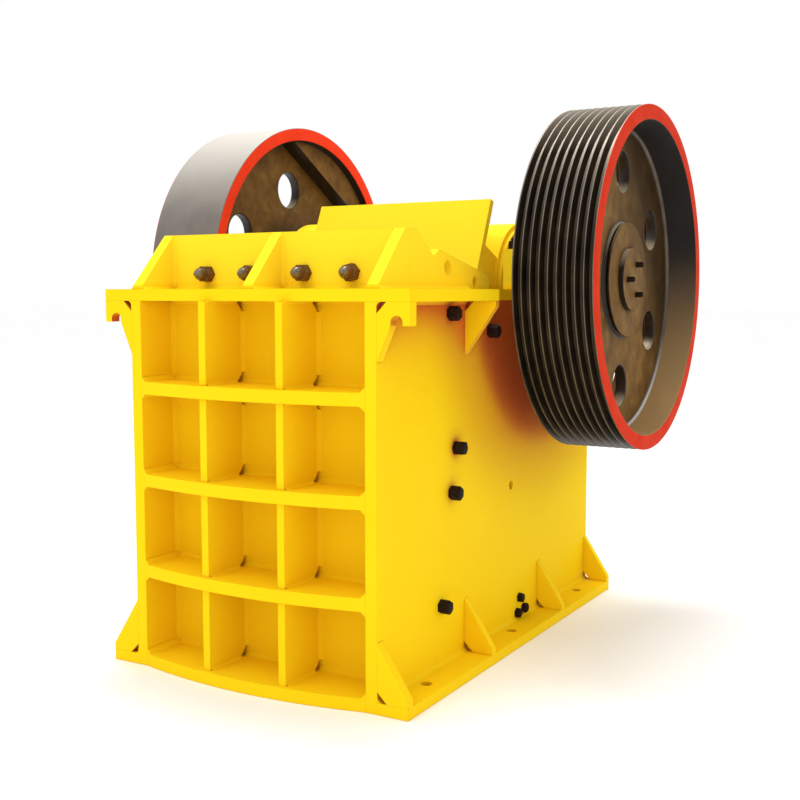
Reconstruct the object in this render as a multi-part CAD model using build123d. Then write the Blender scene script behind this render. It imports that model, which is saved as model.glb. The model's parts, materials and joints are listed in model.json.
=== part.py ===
from build123d import *
import os
from math import atan2, cos, radians, sin, sqrt, tan

# Single-toggle jaw crusher with a feed opening of 600 by 900 mm.
# Millimetres. The origin is on the floor at the middle of the foundation bolts.
# +X runs along the shaft to the belt sheave, -Y to the ribbed front wall, +Z up.

# Side walls
frame_width = 1130             # over the outer faces of the two walls
frame_length = 2080            # front edge to back edge
wall_t = 48
rear_top = 1330                # top of the walls at their back edge
lip_flat = 46                  # level top of the wall behind the feed lip
upstand_notch_from_front = 419
upstand_notch_height = 124     # bottom of the notch above the deck
upstand_peak_from_front = 461
upstand_peak_height = 149
upstand_back_height = 56
upstand_end = 906              # back end of the upstand, from the front edge
front_lug_hole = 58            # diameters of the two holes in the upstand
front_lug_hole_from_front = 533
front_lug_hole_above_deck = 81
rear_lug_hole = 45
rear_lug_hole_from_front = 773
rear_lug_hole_above_deck = 30
sight_hole = 40                # open hole low in the wall
sight_hole_from_front = 1142
sight_hole_height = 662

# Deck flange round the top of the walls
deck_height = 1516             # top face above the floor
deck_t = 46
deck_reach = 135               # beyond the outer face of a wall
deck_length = 714              # side flange, from the front edge
deck_gusset_t = 32
deck_gusset_drop = 215
deck_gusset_toe = 20           # edge left at the gusset's outer end
weld_snipe = 40                # corner cut where welds cross

# Front wall with its grid of ribs
front_recess = 190             # front plate behind the front edge
front_plate_t = 45
rib_rows = 4
rib_columns = 3
rib_t = 50
rib_bow = 64                   # middle of a rib ahead of its ends
rib_flare = 20                 # chamfer where a rib meets a wall
upright_t = 32
upright_setback = 16           # behind the bowed edge
jaw_ledge_depth = 70           # ledge that carries the fixed jaw plate
jaw_ledge_height = 60

# Feed lip
lip_t = 32
lip_height = 217               # above the deck
lip_rib_t = 48
lip_rib_toe = 15               # from the front edge to the rib's nose
lip_rib_nose = 14

# Hook plates under the front corners of the deck
hook_t = 42
hook_notch_r = 24
hook_notch_out = 80            # notch centre from the wall
hook_tip_drop = 83             # below the deck
hook_notch_lift = 12           # notch centre above the hook's tip
hook_root_drop = 212

# Feet
foot_reach = 127
foot_t = 44
bolt_out = 55                  # foundation bolts from the outer face of a wall
bolt_spacing_y = 1550
bolt_hole = 45
foot_gusset_t = 36
second_gusset_from_front = 687
third_gusset_ahead = 55        # third gusset's front face ahead of the shaft
foot_gusset_height = 220       # above the foot, at the wall
foot_gusset_toe = 26           # above the foot, at the outer edge

# Rear wall
rear_recess = 135              # rear plate ahead of the back edge
rear_plate_t = 45
rear_bottom = 430
rear_rows = 2
rod_bracket_t = 40
rod_bracket_width = 180

# Shaft and bearings
shaft_from_front = 1493
shaft_rise = 44                # shaft axis above the deck
eccentricity = 12
eccentric_angle = 235          # direction of the throw, degrees from +Y towards +Z
eccentric_r = 150
journal_r = 130
hub_seat_r = 115
running_gap = 0.3              # radial gap of a turning fit
housing_r = 290
housing_length = 195
ear_reach = 60                 # bolting ears ahead of and behind the housing
cap_ear_t = 130
cover_r = 235
cover_t = 10
wheel_clearance = 12           # bearing cover to wheel

# Wheels
sheave_r = 744
flywheel_r = 772
groove_count = 9
groove_pitch = 37
groove_edge = 23               # first groove centre to the rim's edge
groove_width = 32
groove_depth = 28
groove_angle = 38
flywheel_width = 375
sheave_rim_t = 65
flywheel_rim_t = 60
rim_draft = 12                 # the rim's bore opens towards its edges
rim_root = 28                  # chamfer where the web meets the rim
web_t = 50
sheave_web_inset = 146         # web behind the inner face of its wheel
flywheel_web_inset = 128
hub_r = 250
hub_recess = 113               # hub face inside the rim's outer face
hub_disc_t = 10                # disc on the hub's outer end
hub_neck_t = 8                 # neck behind that disc
hub_neck_depth = 16
web_hole_count = 6
web_hole_r = 90
web_hole_circle = 470
weight_chord = 577             # counterweight's flat, from the shaft axis
weight_angle = 60              # towards the back, degrees from +Y towards +Z
weight_recess = 42             # behind the rim's inner face
disc_r = 136
disc_t = 22

# Crushing chamber
cheek_t = 67
gape = 600                     # feed opening between the jaw faces
discharge = 100
mouth_drop = 16                # mouth below the deck
throat_height = 330
fixed_jaw_t = 90
moving_jaw_t = 95
jaw_side_gap = 6               # jaw plates to cheek plates
tooth_depth = 40
tooth_pitch = 110
tooth_land = 22
cheek_overlap = 150            # cheek plates behind the moving jaw's face
cheek_split = 800              # height of the joint between upper and lower cheek
cheek_split_gap = 4
clamp_height = 110
clamp_bevel = 30

# Moving jaw casting
slab_t = 75
toe_depth = 55
toe_height = 50
head_r = 270
head_cover_t = 18
head_cover_r = 250
jaw_rib_t = 60
wedge_height = 72
wedge_t = 60
wedge_bevel = 30
shield_t = 30
shield_top = 394               # above the deck
shield_gap = 12                # wedge to shield
seat_up = 280                  # toggle seat along the jaw from its bottom edge
seat_back = 205                # toggle seat behind the casting's front
seat_bar = 150
seat_stand = 36                # toggle's end ahead of the bar's back face
lug_t = 30
lug_spacing = 120
lug_up = 60                    # tension lug along the jaw from its bottom edge
lug_back = 190
lug_r = 48
lug_pin_r = 20

# Toggle and tension rod
open_pivot_margin = 8          # beyond the throw, round the toggle's front end
toggle_t = 62
toggle_end_r = 44
toggle_inset = 54              # toggle's ends inside the moving jaw's sides
block_depth = 165
block_height = 190
block_bottom = 560
rod_r = 22
rod_hole_gap = 3               # rod in its bracket
rod_tail = 45                  # thread left beyond the nut
rod_eye_wall = 22
rod_eye_side_gap = 8           # eye between the lugs
spring_length = 170
spring_r = 64
spring_bore_r = 45
washer_r = 71
washer_t = 16
nut_t = 45

# Places worked out from the sizes above
half_width = frame_width / 2
inner = half_width - wall_t
front_y = -frame_length / 2
back_y = frame_length / 2
deck_under = deck_height - deck_t
deck_edge = half_width + deck_reach
plate_front = front_y + front_recess
plate_back = plate_front + front_plate_t
lip_back = plate_back
lip_front = lip_back - lip_t
lip_top = deck_height + lip_height
bolt_x = half_width + bolt_out
rear_back = back_y - rear_recess
rear_front = rear_back - rear_plate_t

shaft_y = front_y + shaft_from_front
shaft_z = deck_height + shaft_rise
throw_y = shaft_y + eccentricity * cos(radians(eccentric_angle))
throw_z = shaft_z + eccentricity * sin(radians(eccentric_angle))
open_pivot_gap = 2 * eccentricity + open_pivot_margin
housing_out = inner + housing_length
cover_out = housing_out + cover_t
wheel_in = cover_out + wheel_clearance
sheave_width = (groove_count - 1) * groove_pitch + 2 * groove_edge

mouth_z = deck_height - mouth_drop
fixed_face = plate_back + fixed_jaw_t
face_low = (fixed_face + discharge, throat_height)
nip = atan2(gape - discharge, mouth_z - throat_height)
face_length = (mouth_z - throat_height) / cos(nip)
chamber_half = inner - cheek_t
jaw_half = chamber_half - jaw_side_gap
toggle_half = jaw_half - toggle_inset


def on_jaw(along, depth):
    """Point (Y, Z) at a distance along the moving jaw's face and a depth behind it."""
    y = face_low[0] + along * sin(nip) + depth * cos(nip)
    z = face_low[1] + along * cos(nip) - depth * sin(nip)
    return (y, z)


def block(low, high):
    size = [b - a for a, b in zip(low, high)]
    return Pos(*low) * Box(*size, align=(Align.MIN, Align.MIN, Align.MIN))


def plate_yz(points, x_low, x_high):
    face = make_face(Polyline(*points, close=True))
    return extrude(Plane.YZ.offset(x_low) * face, amount=x_high - x_low)


def plate_xz(points, y_low, y_high):
    face = make_face(Polyline(*points, close=True))
    return extrude(Plane.XZ.offset(-y_high) * face, amount=y_high - y_low)


def round_x(radius, x_low, x_high, y, z):
    bar = Cylinder(radius, x_high - x_low, align=(Align.CENTER, Align.CENTER, Align.MIN))
    return Pos(x_low, y, z) * Rot(0, 90, 0) * bar


def round_y(radius, x, y_low, y_high, z):
    bar = Cylinder(radius, y_high - y_low, align=(Align.CENTER, Align.CENTER, Align.MIN))
    return Pos(x, y_low, z) * Rot(-90, 0, 0) * bar


def turned_x(points, y, z):
    """Solid of revolution about the line through (y, z) along X, from (x, radius) points."""
    face = make_face(Polyline(*points, close=True))
    return Pos(0, y, z) * revolve(face, axis=Axis.X)


def other_side(part):
    return mirror(part, about=Plane.YZ)


# Welded frame

def side_wall():
    upstand_back = front_y + upstand_end
    peak_y = front_y + upstand_peak_from_front
    notch_y = front_y + upstand_notch_from_front
    rear_break = shaft_y + housing_r + ear_reach
    outline = [
        (front_y, 0),
        (back_y, 0),
        (back_y, rear_top),
        (rear_break, deck_height),
        (upstand_back, deck_height),
        (upstand_back, deck_height + upstand_back_height),
        (peak_y, deck_height + upstand_peak_height),
        (notch_y, deck_height + upstand_notch_height),
        (lip_back + lip_flat, lip_top),
        (lip_back, lip_top),
        (lip_back, deck_under),
        (front_y, deck_under),
    ]
    wall = plate_yz(outline, inner, half_width)
    wall -= round_x(housing_r, inner, half_width, shaft_y, shaft_z)
    front_lug_y = front_y + front_lug_hole_from_front
    rear_lug_y = front_y + rear_lug_hole_from_front
    sight_y = front_y + sight_hole_from_front
    holes = [
        (front_lug_hole, front_lug_y, deck_height + front_lug_hole_above_deck),
        (rear_lug_hole, rear_lug_y, deck_height + rear_lug_hole_above_deck),
        (sight_hole, sight_y, sight_hole_height),
    ]
    for diameter, y, z in holes:
        wall -= round_x(diameter / 2, inner, half_width, y, z)
    return wall


def front_wall():
    plate = block((-inner, plate_front, 0), (inner, plate_back, deck_under))
    ledge_low = (-inner, plate_back, throat_height - jaw_ledge_height)
    ledge_high = (inner, plate_back + jaw_ledge_depth, throat_height)
    return plate + block(ledge_low, ledge_high)


def bowed_edge(x):
    """Y of the ribs' bowed front edge at a distance x from the middle."""
    radius = (inner ** 2 + rib_bow ** 2) / (2 * rib_bow)
    return front_y - rib_bow + radius - sqrt(radius ** 2 - x ** 2)


def rib_bottom(row):
    return row * deck_under / rib_rows


def front_rib(row):
    bottom = rib_bottom(row)
    top = bottom + rib_t
    edge = ThreePointArc((-inner, front_y), (0, front_y - rib_bow), (inner, front_y))
    back = Polyline((inner, front_y), (inner, plate_front), (-inner, plate_front), (-inner, front_y))
    plan = make_face([edge, *back.edges()])
    flare_low = min(rib_flare, bottom)
    rib = extrude(Pos(0, 0, bottom - flare_low) * plan, amount=rib_t + flare_low + rib_flare)
    face = [
        (-inner, bottom - flare_low),
        (-inner + rib_flare, bottom),
        (inner - rib_flare, bottom),
        (inner, bottom - flare_low),
        (inner, top + rib_flare),
        (inner - rib_flare, top),
        (-inner + rib_flare, top),
        (-inner, top + rib_flare),
    ]
    if flare_low == 0:
        face = [(-inner, bottom), (inner, bottom), *face[4:]]
    return rib & plate_xz(face, front_y - rib_bow, plate_front)


def sniped_upright(x, y_low, y_high, z_low, z_high, snipe_at_low_y):
    """Stiffener between two ribs, with its corners cut beside the plate that it stands on."""
    s = weld_snipe
    outline = [
        (y_low, z_low),
        (y_high - s, z_low),
        (y_high, z_low + s),
        (y_high, z_high - s),
        (y_high - s, z_high),
        (y_low, z_high),
    ]
    if snipe_at_low_y:
        outline = [(y_low + y_high - y, z) for y, z in reversed(outline)]
    return plate_yz(outline, x - upright_t / 2, x + upright_t / 2)


def column_pitch():
    return (2 * inner - (rib_columns - 1) * upright_t) / rib_columns + upright_t


def upright_places():
    middle = (rib_columns - 2) / 2
    return [(column - middle) * column_pitch() for column in range(rib_columns - 1)]


def front_uprights(x):
    front = bowed_edge(abs(x) + upright_t / 2) + upright_setback
    pieces = []
    for row in range(rib_rows):
        low = rib_bottom(row) + rib_t
        high = rib_bottom(row + 1)
        pieces.append(sniped_upright(x, front, plate_front, low, high, False))
    return Compound(children=pieces)


def front_deck():
    return block((-deck_edge, front_y, deck_under), (deck_edge, lip_back, deck_height))


def feed_lip():
    return block((-inner, lip_front, deck_height), (inner, lip_back, lip_top))


def lip_ribs():
    """Sloped rib in the middle of the lip and the walls' sloped ends beside it."""
    toe = front_y + lip_rib_toe
    slope = [
        (lip_front, lip_top),
        (toe, deck_height + lip_rib_nose),
        (toe, deck_height),
    ]
    end = [(lip_back, deck_height), (lip_back, lip_top), *slope]
    right = plate_yz(end, inner, half_width)
    middle = plate_yz([(lip_front, deck_height), *slope], -lip_rib_t / 2, lip_rib_t / 2)
    return Compound(children=[other_side(right), middle, right])


def hook_plate():
    notch_x = half_width + hook_notch_out
    tip_z = deck_under - hook_tip_drop
    notch_z = tip_z + hook_notch_lift
    outline = [
        (half_width, deck_under - weld_snipe),
        (half_width + weld_snipe, deck_under),
        (deck_edge, deck_under),
        (deck_edge, tip_z),
        (notch_x - hook_notch_r, tip_z),
        (half_width, deck_under - hook_root_drop),
    ]
    plate = plate_xz(outline, front_y, front_y + hook_t)
    plate -= round_y(hook_notch_r, notch_x, front_y, front_y + hook_t, notch_z)
    throat_low = (notch_x - hook_notch_r, front_y, tip_z - hook_notch_r)
    throat_high = (notch_x + hook_notch_r, front_y + hook_t, notch_z)
    return plate - block(throat_low, throat_high)


def deck_flange():
    end = front_y + deck_length
    flange = block((half_width, lip_back, deck_under), (deck_edge, end, deck_height))
    bottom = deck_under - deck_gusset_drop
    outline = [
        (half_width, deck_under - weld_snipe),
        (half_width + weld_snipe, deck_under),
        (deck_edge, deck_under),
        (deck_edge, deck_under - deck_gusset_toe),
        (half_width, bottom),
    ]
    return flange + plate_xz(outline, end - deck_gusset_t, end)


def foot():
    plate = block((half_width, front_y, 0), (half_width + foot_reach, back_y, foot_t))
    for step in (-0.5, 0, 0.5):
        drill = Cylinder(bolt_hole / 2, foot_t, align=(Align.CENTER, Align.CENTER, Align.MIN))
        plate -= Pos(bolt_x, step * bolt_spacing_y, 0) * drill
    return plate


def foot_gussets():
    outer = half_width + foot_reach
    outline = [
        (half_width + weld_snipe, foot_t),
        (outer, foot_t),
        (outer, foot_t + foot_gusset_toe),
        (half_width, foot_t + foot_gusset_height),
        (half_width, foot_t + weld_snipe),
    ]
    fronts = [
        front_y,
        front_y + second_gusset_from_front,
        shaft_y - third_gusset_ahead,
        back_y - foot_gusset_t,
    ]
    return Compound(children=[plate_xz(outline, y, y + foot_gusset_t) for y in fronts])


def rear_rib_bottom(row):
    return rear_bottom + row * (rear_top - rear_bottom - rib_t) / rear_rows


def rod_height():
    return on_jaw(lug_up, moving_jaw_t + lug_back)[1]


def rear_wall():
    plate = block((-inner, rear_front, rear_bottom), (inner, rear_back, rear_top))
    bottom = rod_height() - spring_r
    half = rod_bracket_width / 2
    bracket = block((-half, rear_back - rod_bracket_t, bottom), (half, rear_back, rear_bottom))
    bracket -= round_y(rod_r + rod_hole_gap, 0, rear_back - rod_bracket_t, rear_back, rod_height())
    return plate + bracket


def rear_ribs():
    pieces = []
    for row in range(rear_rows + 1):
        low = rear_rib_bottom(row)
        pieces.append(block((-inner, rear_back, low), (inner, back_y, low + rib_t)))
    return Compound(children=pieces)


def rear_uprights():
    pieces = []
    for x in upright_places():
        for row in range(rear_rows):
            low = rear_rib_bottom(row) + rib_t
            high = rear_rib_bottom(row + 1)
            pieces.append(sniped_upright(x, rear_back, back_y - upright_setback, low, high, True))
    return Compound(children=pieces)


# Bearing housings, split at the height of the shaft

def bearing_seat():
    ring = round_x(housing_r, inner, housing_out, shaft_y, shaft_z)
    reach = housing_r + ear_reach
    above = block((inner, shaft_y - reach, shaft_z), (housing_out, shaft_y + reach, shaft_z + housing_r))
    ears = block((inner, shaft_y - reach, deck_height), (housing_out, shaft_y + reach, shaft_z))
    return (ring - above) + ears - round_x(journal_r + running_gap, inner, housing_out, shaft_y, shaft_z)


def bearing_cap():
    ring = round_x(housing_r, inner, housing_out, shaft_y, shaft_z)
    reach = housing_r + ear_reach
    below = block((inner, shaft_y - reach, shaft_z - housing_r), (housing_out, shaft_y + reach, shaft_z))
    ears = block((inner, shaft_y - reach, shaft_z), (housing_out, shaft_y + reach, shaft_z + cap_ear_t))
    return (ring - below) + ears - round_x(journal_r + running_gap, inner, housing_out, shaft_y, shaft_z)


def bearing_covers():
    disc = round_x(cover_r, housing_out, cover_out, shaft_y, shaft_z)
    disc -= round_x(journal_r + running_gap, housing_out, cover_out, shaft_y, shaft_z)
    return Compound(children=[disc, other_side(disc)])


# Rotor

def eccentric_shaft():
    hub_out = wheel_in + sheave_width - hub_recess
    far_out = wheel_in + flywheel_width - hub_recess
    throw_half = chamber_half + head_cover_t
    shaft = round_x(journal_r, -wheel_in, wheel_in, shaft_y, shaft_z)
    shaft += round_x(hub_seat_r, -far_out, -wheel_in, shaft_y, shaft_z)
    shaft += round_x(hub_seat_r, wheel_in, hub_out, shaft_y, shaft_z)
    shaft += round_x(eccentric_r, -throw_half, throw_half, throw_y, throw_z)
    return shaft


def wheel(rim_edge, rim_bore, web_in):
    """Wheel with a holed web between two faces on +X, from the outline of its rim's outer edge."""
    inner_face = rim_edge[0][0]
    outer_face = rim_edge[-1][0]
    web_rim = rim_bore - rim_draft
    web_out = web_in + web_t
    hub_out = outer_face - hub_recess
    disc_in = hub_out - hub_disc_t
    neck_in = disc_in - hub_neck_t
    neck_r = hub_r - hub_neck_depth
    body = turned_x([
        *rim_edge,
        (outer_face, rim_bore),
        (web_out + rim_root, web_rim),
        (web_out, web_rim - rim_root),
        (web_out, hub_r),
        (neck_in, hub_r),
        (neck_in, neck_r),
        (disc_in, neck_r),
        (disc_in, hub_r),
        (hub_out, hub_r),
        (hub_out, hub_seat_r),
        (inner_face, hub_seat_r),
        (inner_face, hub_r),
        (web_in, hub_r),
        (web_in, web_rim - rim_root),
        (web_in - rim_root, web_rim),
        (inner_face, rim_bore),
    ], shaft_y, shaft_z)
    for number in range(web_hole_count):
        turn = radians(90 + number * 360 / web_hole_count)
        hole_y = shaft_y + web_hole_circle * cos(turn)
        hole_z = shaft_z + web_hole_circle * sin(turn)
        body -= round_x(web_hole_r, web_in, web_out, hole_y, hole_z)
    return body


def sheave():
    outer_face = wheel_in + sheave_width
    bottom = groove_width - 2 * groove_depth * tan(radians(groove_angle / 2))
    edge = [(wheel_in, sheave_r)]
    for number in range(groove_count):
        middle = wheel_in + groove_edge + number * groove_pitch
        edge.append((middle - groove_width / 2, sheave_r))
        edge.append((middle - bottom / 2, sheave_r - groove_depth))
        edge.append((middle + bottom / 2, sheave_r - groove_depth))
        edge.append((middle + groove_width / 2, sheave_r))
    edge.append((outer_face, sheave_r))
    return wheel(edge, sheave_r - sheave_rim_t, wheel_in + sheave_web_inset)


def flywheel():
    outer_face = wheel_in + flywheel_width
    edge = [(wheel_in, flywheel_r), (outer_face, flywheel_r)]
    web_in = wheel_in + flywheel_web_inset
    body = wheel(edge, flywheel_r - flywheel_rim_t, web_in)
    fill = round_x(flywheel_r - flywheel_rim_t / 2, wheel_in + weight_recess, web_in, 0, 0)
    span = 2 * flywheel_r
    fill &= block((0, weight_chord, -span), (span, span, span))
    body += Pos(0, shaft_y, shaft_z) * Rot(weight_angle, 0, 0) * fill
    return other_side(body)


def end_discs():
    sheave_hub = wheel_in + sheave_width - hub_recess
    flywheel_hub = wheel_in + flywheel_width - hub_recess
    right = round_x(disc_r, sheave_hub, sheave_hub + disc_t, shaft_y, shaft_z)
    left = round_x(disc_r, -flywheel_hub - disc_t, -flywheel_hub, shaft_y, shaft_z)
    return Compound(children=[left, right])


# Crushing chamber

def toothed_profile(width, depth, thickness, shift):
    """Outline across a jaw plate: teeth tips at zero depth, plain back at the full thickness."""
    points = [(-width / 2, depth)]
    count = int(width / tooth_pitch)
    first = -(count - 1) * tooth_pitch / 2 + shift
    for number in range(count):
        middle = first + number * tooth_pitch
        left = middle - (tooth_pitch - tooth_land) / 2
        right = middle + (tooth_pitch - tooth_land) / 2
        if left < -width / 2 or right > width / 2:
            continue
        points.append((left, depth))
        points.append((middle - tooth_land / 2, 0))
        points.append((middle + tooth_land / 2, 0))
        points.append((right, depth))
    points.append((width / 2, depth))
    points.append((width / 2, thickness))
    points.append((-width / 2, thickness))
    return points


def fixed_jaw_plate():
    points = toothed_profile(2 * jaw_half, tooth_depth, fixed_jaw_t, 0)
    face = make_face(Polyline(*[(x, fixed_face - y) for x, y in points], close=True))
    return extrude(Pos(0, 0, throat_height) * face, amount=mouth_z - throat_height)


def fixed_jaw_clamp():
    low = mouth_z
    high = mouth_z + clamp_height
    back = fixed_face - tooth_depth
    outline = [(lip_back, low), (back, low), (back, high - clamp_bevel), (lip_back, high)]
    return plate_yz(outline, -jaw_half, jaw_half)


def cheek_plates():
    face_at = [on_jaw(along, cheek_overlap) for along in (0, face_length)]
    slope = (face_at[1][0] - face_at[0][0]) / (face_at[1][1] - face_at[0][1])

    def rear_edge(z):
        return face_at[0][0] + (z - face_at[0][1]) * slope

    pieces = []
    for low, high in ((throat_height, cheek_split), (cheek_split + cheek_split_gap, mouth_z)):
        outline = [(plate_back, low), (rear_edge(low), low), (rear_edge(high), high), (plate_back, high)]
        pieces.append(plate_yz(outline, chamber_half, inner))
    return Compound(children=pieces)


# Moving jaw

def along_jaw(points, x_low, x_high):
    return plate_yz([on_jaw(along, depth) for along, depth in points], x_low, x_high)


def head_centre():
    """Eccentric centre measured along the jaw's face and behind it."""
    y = throw_y - face_low[0]
    z = throw_z - face_low[1]
    return (y * sin(nip) + z * cos(nip), y * cos(nip) - z * sin(nip))


def toggle_front():
    return on_jaw(seat_up, moving_jaw_t + seat_back + seat_stand)


def pitman():
    head_along, head_depth = head_centre()
    front = moving_jaw_t
    slab_back = front + slab_t
    slab = along_jaw([
        (-toe_height, front - toe_depth),
        (0, front - toe_depth),
        (0, front),
        (head_along, front),
        (head_along, slab_back),
        (-toe_height, slab_back),
    ], -jaw_half, jaw_half)
    head = round_x(head_r, -chamber_half, chamber_half, throw_y, throw_z)
    neck = along_jaw([
        (head_along - head_r / 2, slab_back),
        (head_along, slab_back),
        (head_along, head_depth),
        (head_along - head_r / 2, head_depth),
    ], -jaw_half, jaw_half)
    seat_depth = front + seat_back
    bar = along_jaw([
        (seat_up - seat_bar / 2, seat_depth - seat_bar / 2),
        (seat_up + seat_bar / 2, seat_depth - seat_bar / 2),
        (seat_up + seat_bar / 2, seat_depth),
        (seat_up - seat_bar / 2, seat_depth),
    ], -jaw_half, jaw_half)
    casting = slab + head + neck + bar
    rib_outline = [
        (0, slab_back),
        (seat_up - seat_bar / 2, seat_depth),
        (seat_up + seat_bar / 2, seat_depth),
        (head_along - head_r / 2, head_depth + head_r / 2),
        (head_along - head_r / 2, slab_back),
    ]
    outer_rib = jaw_half - jaw_rib_t / 2
    for x in (-outer_rib, -outer_rib / 3, outer_rib / 3, outer_rib):
        casting += along_jaw(rib_outline, x - jaw_rib_t / 2, x + jaw_rib_t / 2)
    lug_y, lug_z = on_jaw(lug_up, front + lug_back)
    for x in (-lug_spacing / 2, lug_spacing / 2):
        lug = round_x(lug_r, x - lug_t / 2, x + lug_t / 2, lug_y, lug_z)
        arm = [
            (lug_up - lug_r, slab_back),
            (lug_up + lug_r, slab_back),
            (lug_up + lug_r, front + lug_back),
            (lug_up - lug_r, front + lug_back),
        ]
        casting += lug + along_jaw(arm, x - lug_t / 2, x + lug_t / 2)
    casting += round_x(lug_pin_r, -lug_spacing / 2, lug_spacing / 2, lug_y, lug_z)
    end_y, end_z = toggle_front()
    casting -= round_x(toggle_end_r + open_pivot_gap, -jaw_half, jaw_half, end_y, end_z)
    return casting - round_x(eccentric_r + running_gap, -chamber_half, chamber_half, throw_y, throw_z)


def head_covers():
    face = chamber_half
    disc = round_x(head_cover_r, face, face + head_cover_t, throw_y, throw_z)
    disc -= round_x(eccentric_r + running_gap, face, face + head_cover_t, throw_y, throw_z)
    return Compound(children=[disc, other_side(disc)])


def moving_jaw_plate():
    points = toothed_profile(2 * jaw_half, tooth_depth, moving_jaw_t, tooth_pitch / 2)
    plane = Plane(origin=(0, *face_low), x_dir=(1, 0, 0), z_dir=(0, sin(nip), cos(nip)))
    return extrude(plane * make_face(Polyline(*points, close=True)), amount=face_length)


def jaw_wedge():
    back = moving_jaw_t
    outline = [
        (face_length, back - wedge_t),
        (face_length + wedge_height - wedge_bevel, back - wedge_t),
        (face_length + wedge_height, back - wedge_t + wedge_bevel),
        (face_length + wedge_height, back),
        (face_length, back),
    ]
    return along_jaw(outline, -jaw_half, jaw_half)


def shield():
    low = face_length + wedge_height + shield_gap
    front = moving_jaw_t - shield_t
    top_z = deck_height + shield_top
    high = (top_z - face_low[1] + front * sin(nip)) / cos(nip)
    outline = [(low, front), (high, front), (high, moving_jaw_t), (low, moving_jaw_t)]
    return along_jaw(outline, -jaw_half, jaw_half)


# Toggle, its adjusting block and the tension rod

def block_front():
    return rear_front - block_depth


def rear_seat():
    return (block_front(), block_bottom + block_height / 2)


def adjusting_block():
    body = block((-inner, block_front(), block_bottom), (inner, rear_front, block_bottom + block_height))
    seat_y, seat_z = rear_seat()
    return body - round_x(toggle_end_r + running_gap, -inner, inner, seat_y, seat_z)


def toggle_plate():
    rear_y, rear_z = rear_seat()
    end_y, end_z = toggle_front()
    length = sqrt((rear_y - end_y) ** 2 + (rear_z - end_z) ** 2)
    way_y = (rear_y - end_y) / length
    way_z = (rear_z - end_z) / length
    half = toggle_t / 2
    outline = [
        (end_y + way_z * half, end_z - way_y * half),
        (rear_y + way_z * half, rear_z - way_y * half),
        (rear_y - way_z * half, rear_z + way_y * half),
        (end_y - way_z * half, end_z + way_y * half),
    ]
    plate = plate_yz(outline, -toggle_half, toggle_half)
    plate += round_x(toggle_end_r, -toggle_half, toggle_half, rear_y, rear_z)
    plate += round_x(toggle_end_r, -toggle_half, toggle_half, end_y, end_z)
    return plate


def tension_rod():
    lug_y, z = on_jaw(lug_up, moving_jaw_t + lug_back)
    eye_r = lug_pin_r + open_pivot_gap
    eye_half = (lug_spacing - lug_t) / 2 - rod_eye_side_gap
    eye = round_x(eye_r + rod_eye_wall, -eye_half, eye_half, lug_y, z)
    washer = rear_back + spring_length
    end = washer + washer_t + nut_t + rod_tail
    rod = eye + round_y(rod_r, 0, lug_y + eye_r, end, z)
    rod -= round_x(eye_r, -eye_half, eye_half, lug_y, z)
    rod += round_y(washer_r, 0, washer, washer + washer_t, z)
    nut = RegularPolygon(radius=2 * rod_r, side_count=6)
    rod += Pos(0, washer + washer_t, z) * Rot(-90, 0, 0) * extrude(nut, amount=nut_t)
    return rod


def tension_spring():
    """Closed-up coil, as a sleeve of the coil's outer and inner size."""
    end = rear_back + spring_length
    sleeve = round_y(spring_r, 0, rear_back, end, rod_height())
    return sleeve - round_y(spring_bore_r, 0, rear_back, end, rod_height())


def nodes():
    wall = side_wall()
    yield "right_side_wall", wall
    yield "left_side_wall", other_side(wall)
    yield "front_wall", front_wall()
    for row in range(rib_rows):
        yield f"front_rib_{row + 1}", front_rib(row)
    for side, x in zip(("left", "right"), upright_places()):
        yield f"{side}_front_uprights", front_uprights(x)
    yield "front_deck", front_deck()
    yield "feed_lip", feed_lip()
    yield "lip_ribs", lip_ribs()
    paired = {
        "hook_plate": hook_plate,
        "deck_flange": deck_flange,
        "foot": foot,
        "foot_gussets": foot_gussets,
        "bearing_seat": bearing_seat,
        "bearing_cap": bearing_cap,
        "cheek_plates": cheek_plates,
    }
    for name, make in paired.items():
        piece = make()
        yield f"right_{name}", piece
        yield f"left_{name}", other_side(piece)
    yield "bearing_covers", bearing_covers()
    yield "rear_wall", rear_wall()
    yield "rear_ribs", rear_ribs()
    yield "rear_uprights", rear_uprights()
    yield "fixed_jaw_plate", fixed_jaw_plate()
    yield "fixed_jaw_clamp", fixed_jaw_clamp()
    yield "adjusting_block", adjusting_block()
    yield "toggle_plate", toggle_plate()
    yield "tension_rod", tension_rod()
    yield "tension_spring", tension_spring()
    yield "eccentric_shaft", eccentric_shaft()
    yield "sheave", sheave()
    yield "flywheel", flywheel()
    yield "end_discs", end_discs()
    yield "pitman", pitman()
    yield "head_covers", head_covers()
    yield "moving_jaw_plate", moving_jaw_plate()
    yield "jaw_wedge", jaw_wedge()
    yield "shield", shield()


os.makedirs("parts", exist_ok=True)
for node, shape in nodes():
    export_step(shape, f"parts/{node}.step")
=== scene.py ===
import json
import math
import random

import bmesh
import bpy
from mathutils import Matrix, Vector
from mathutils.geometry import delaunay_2d_cdt


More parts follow.
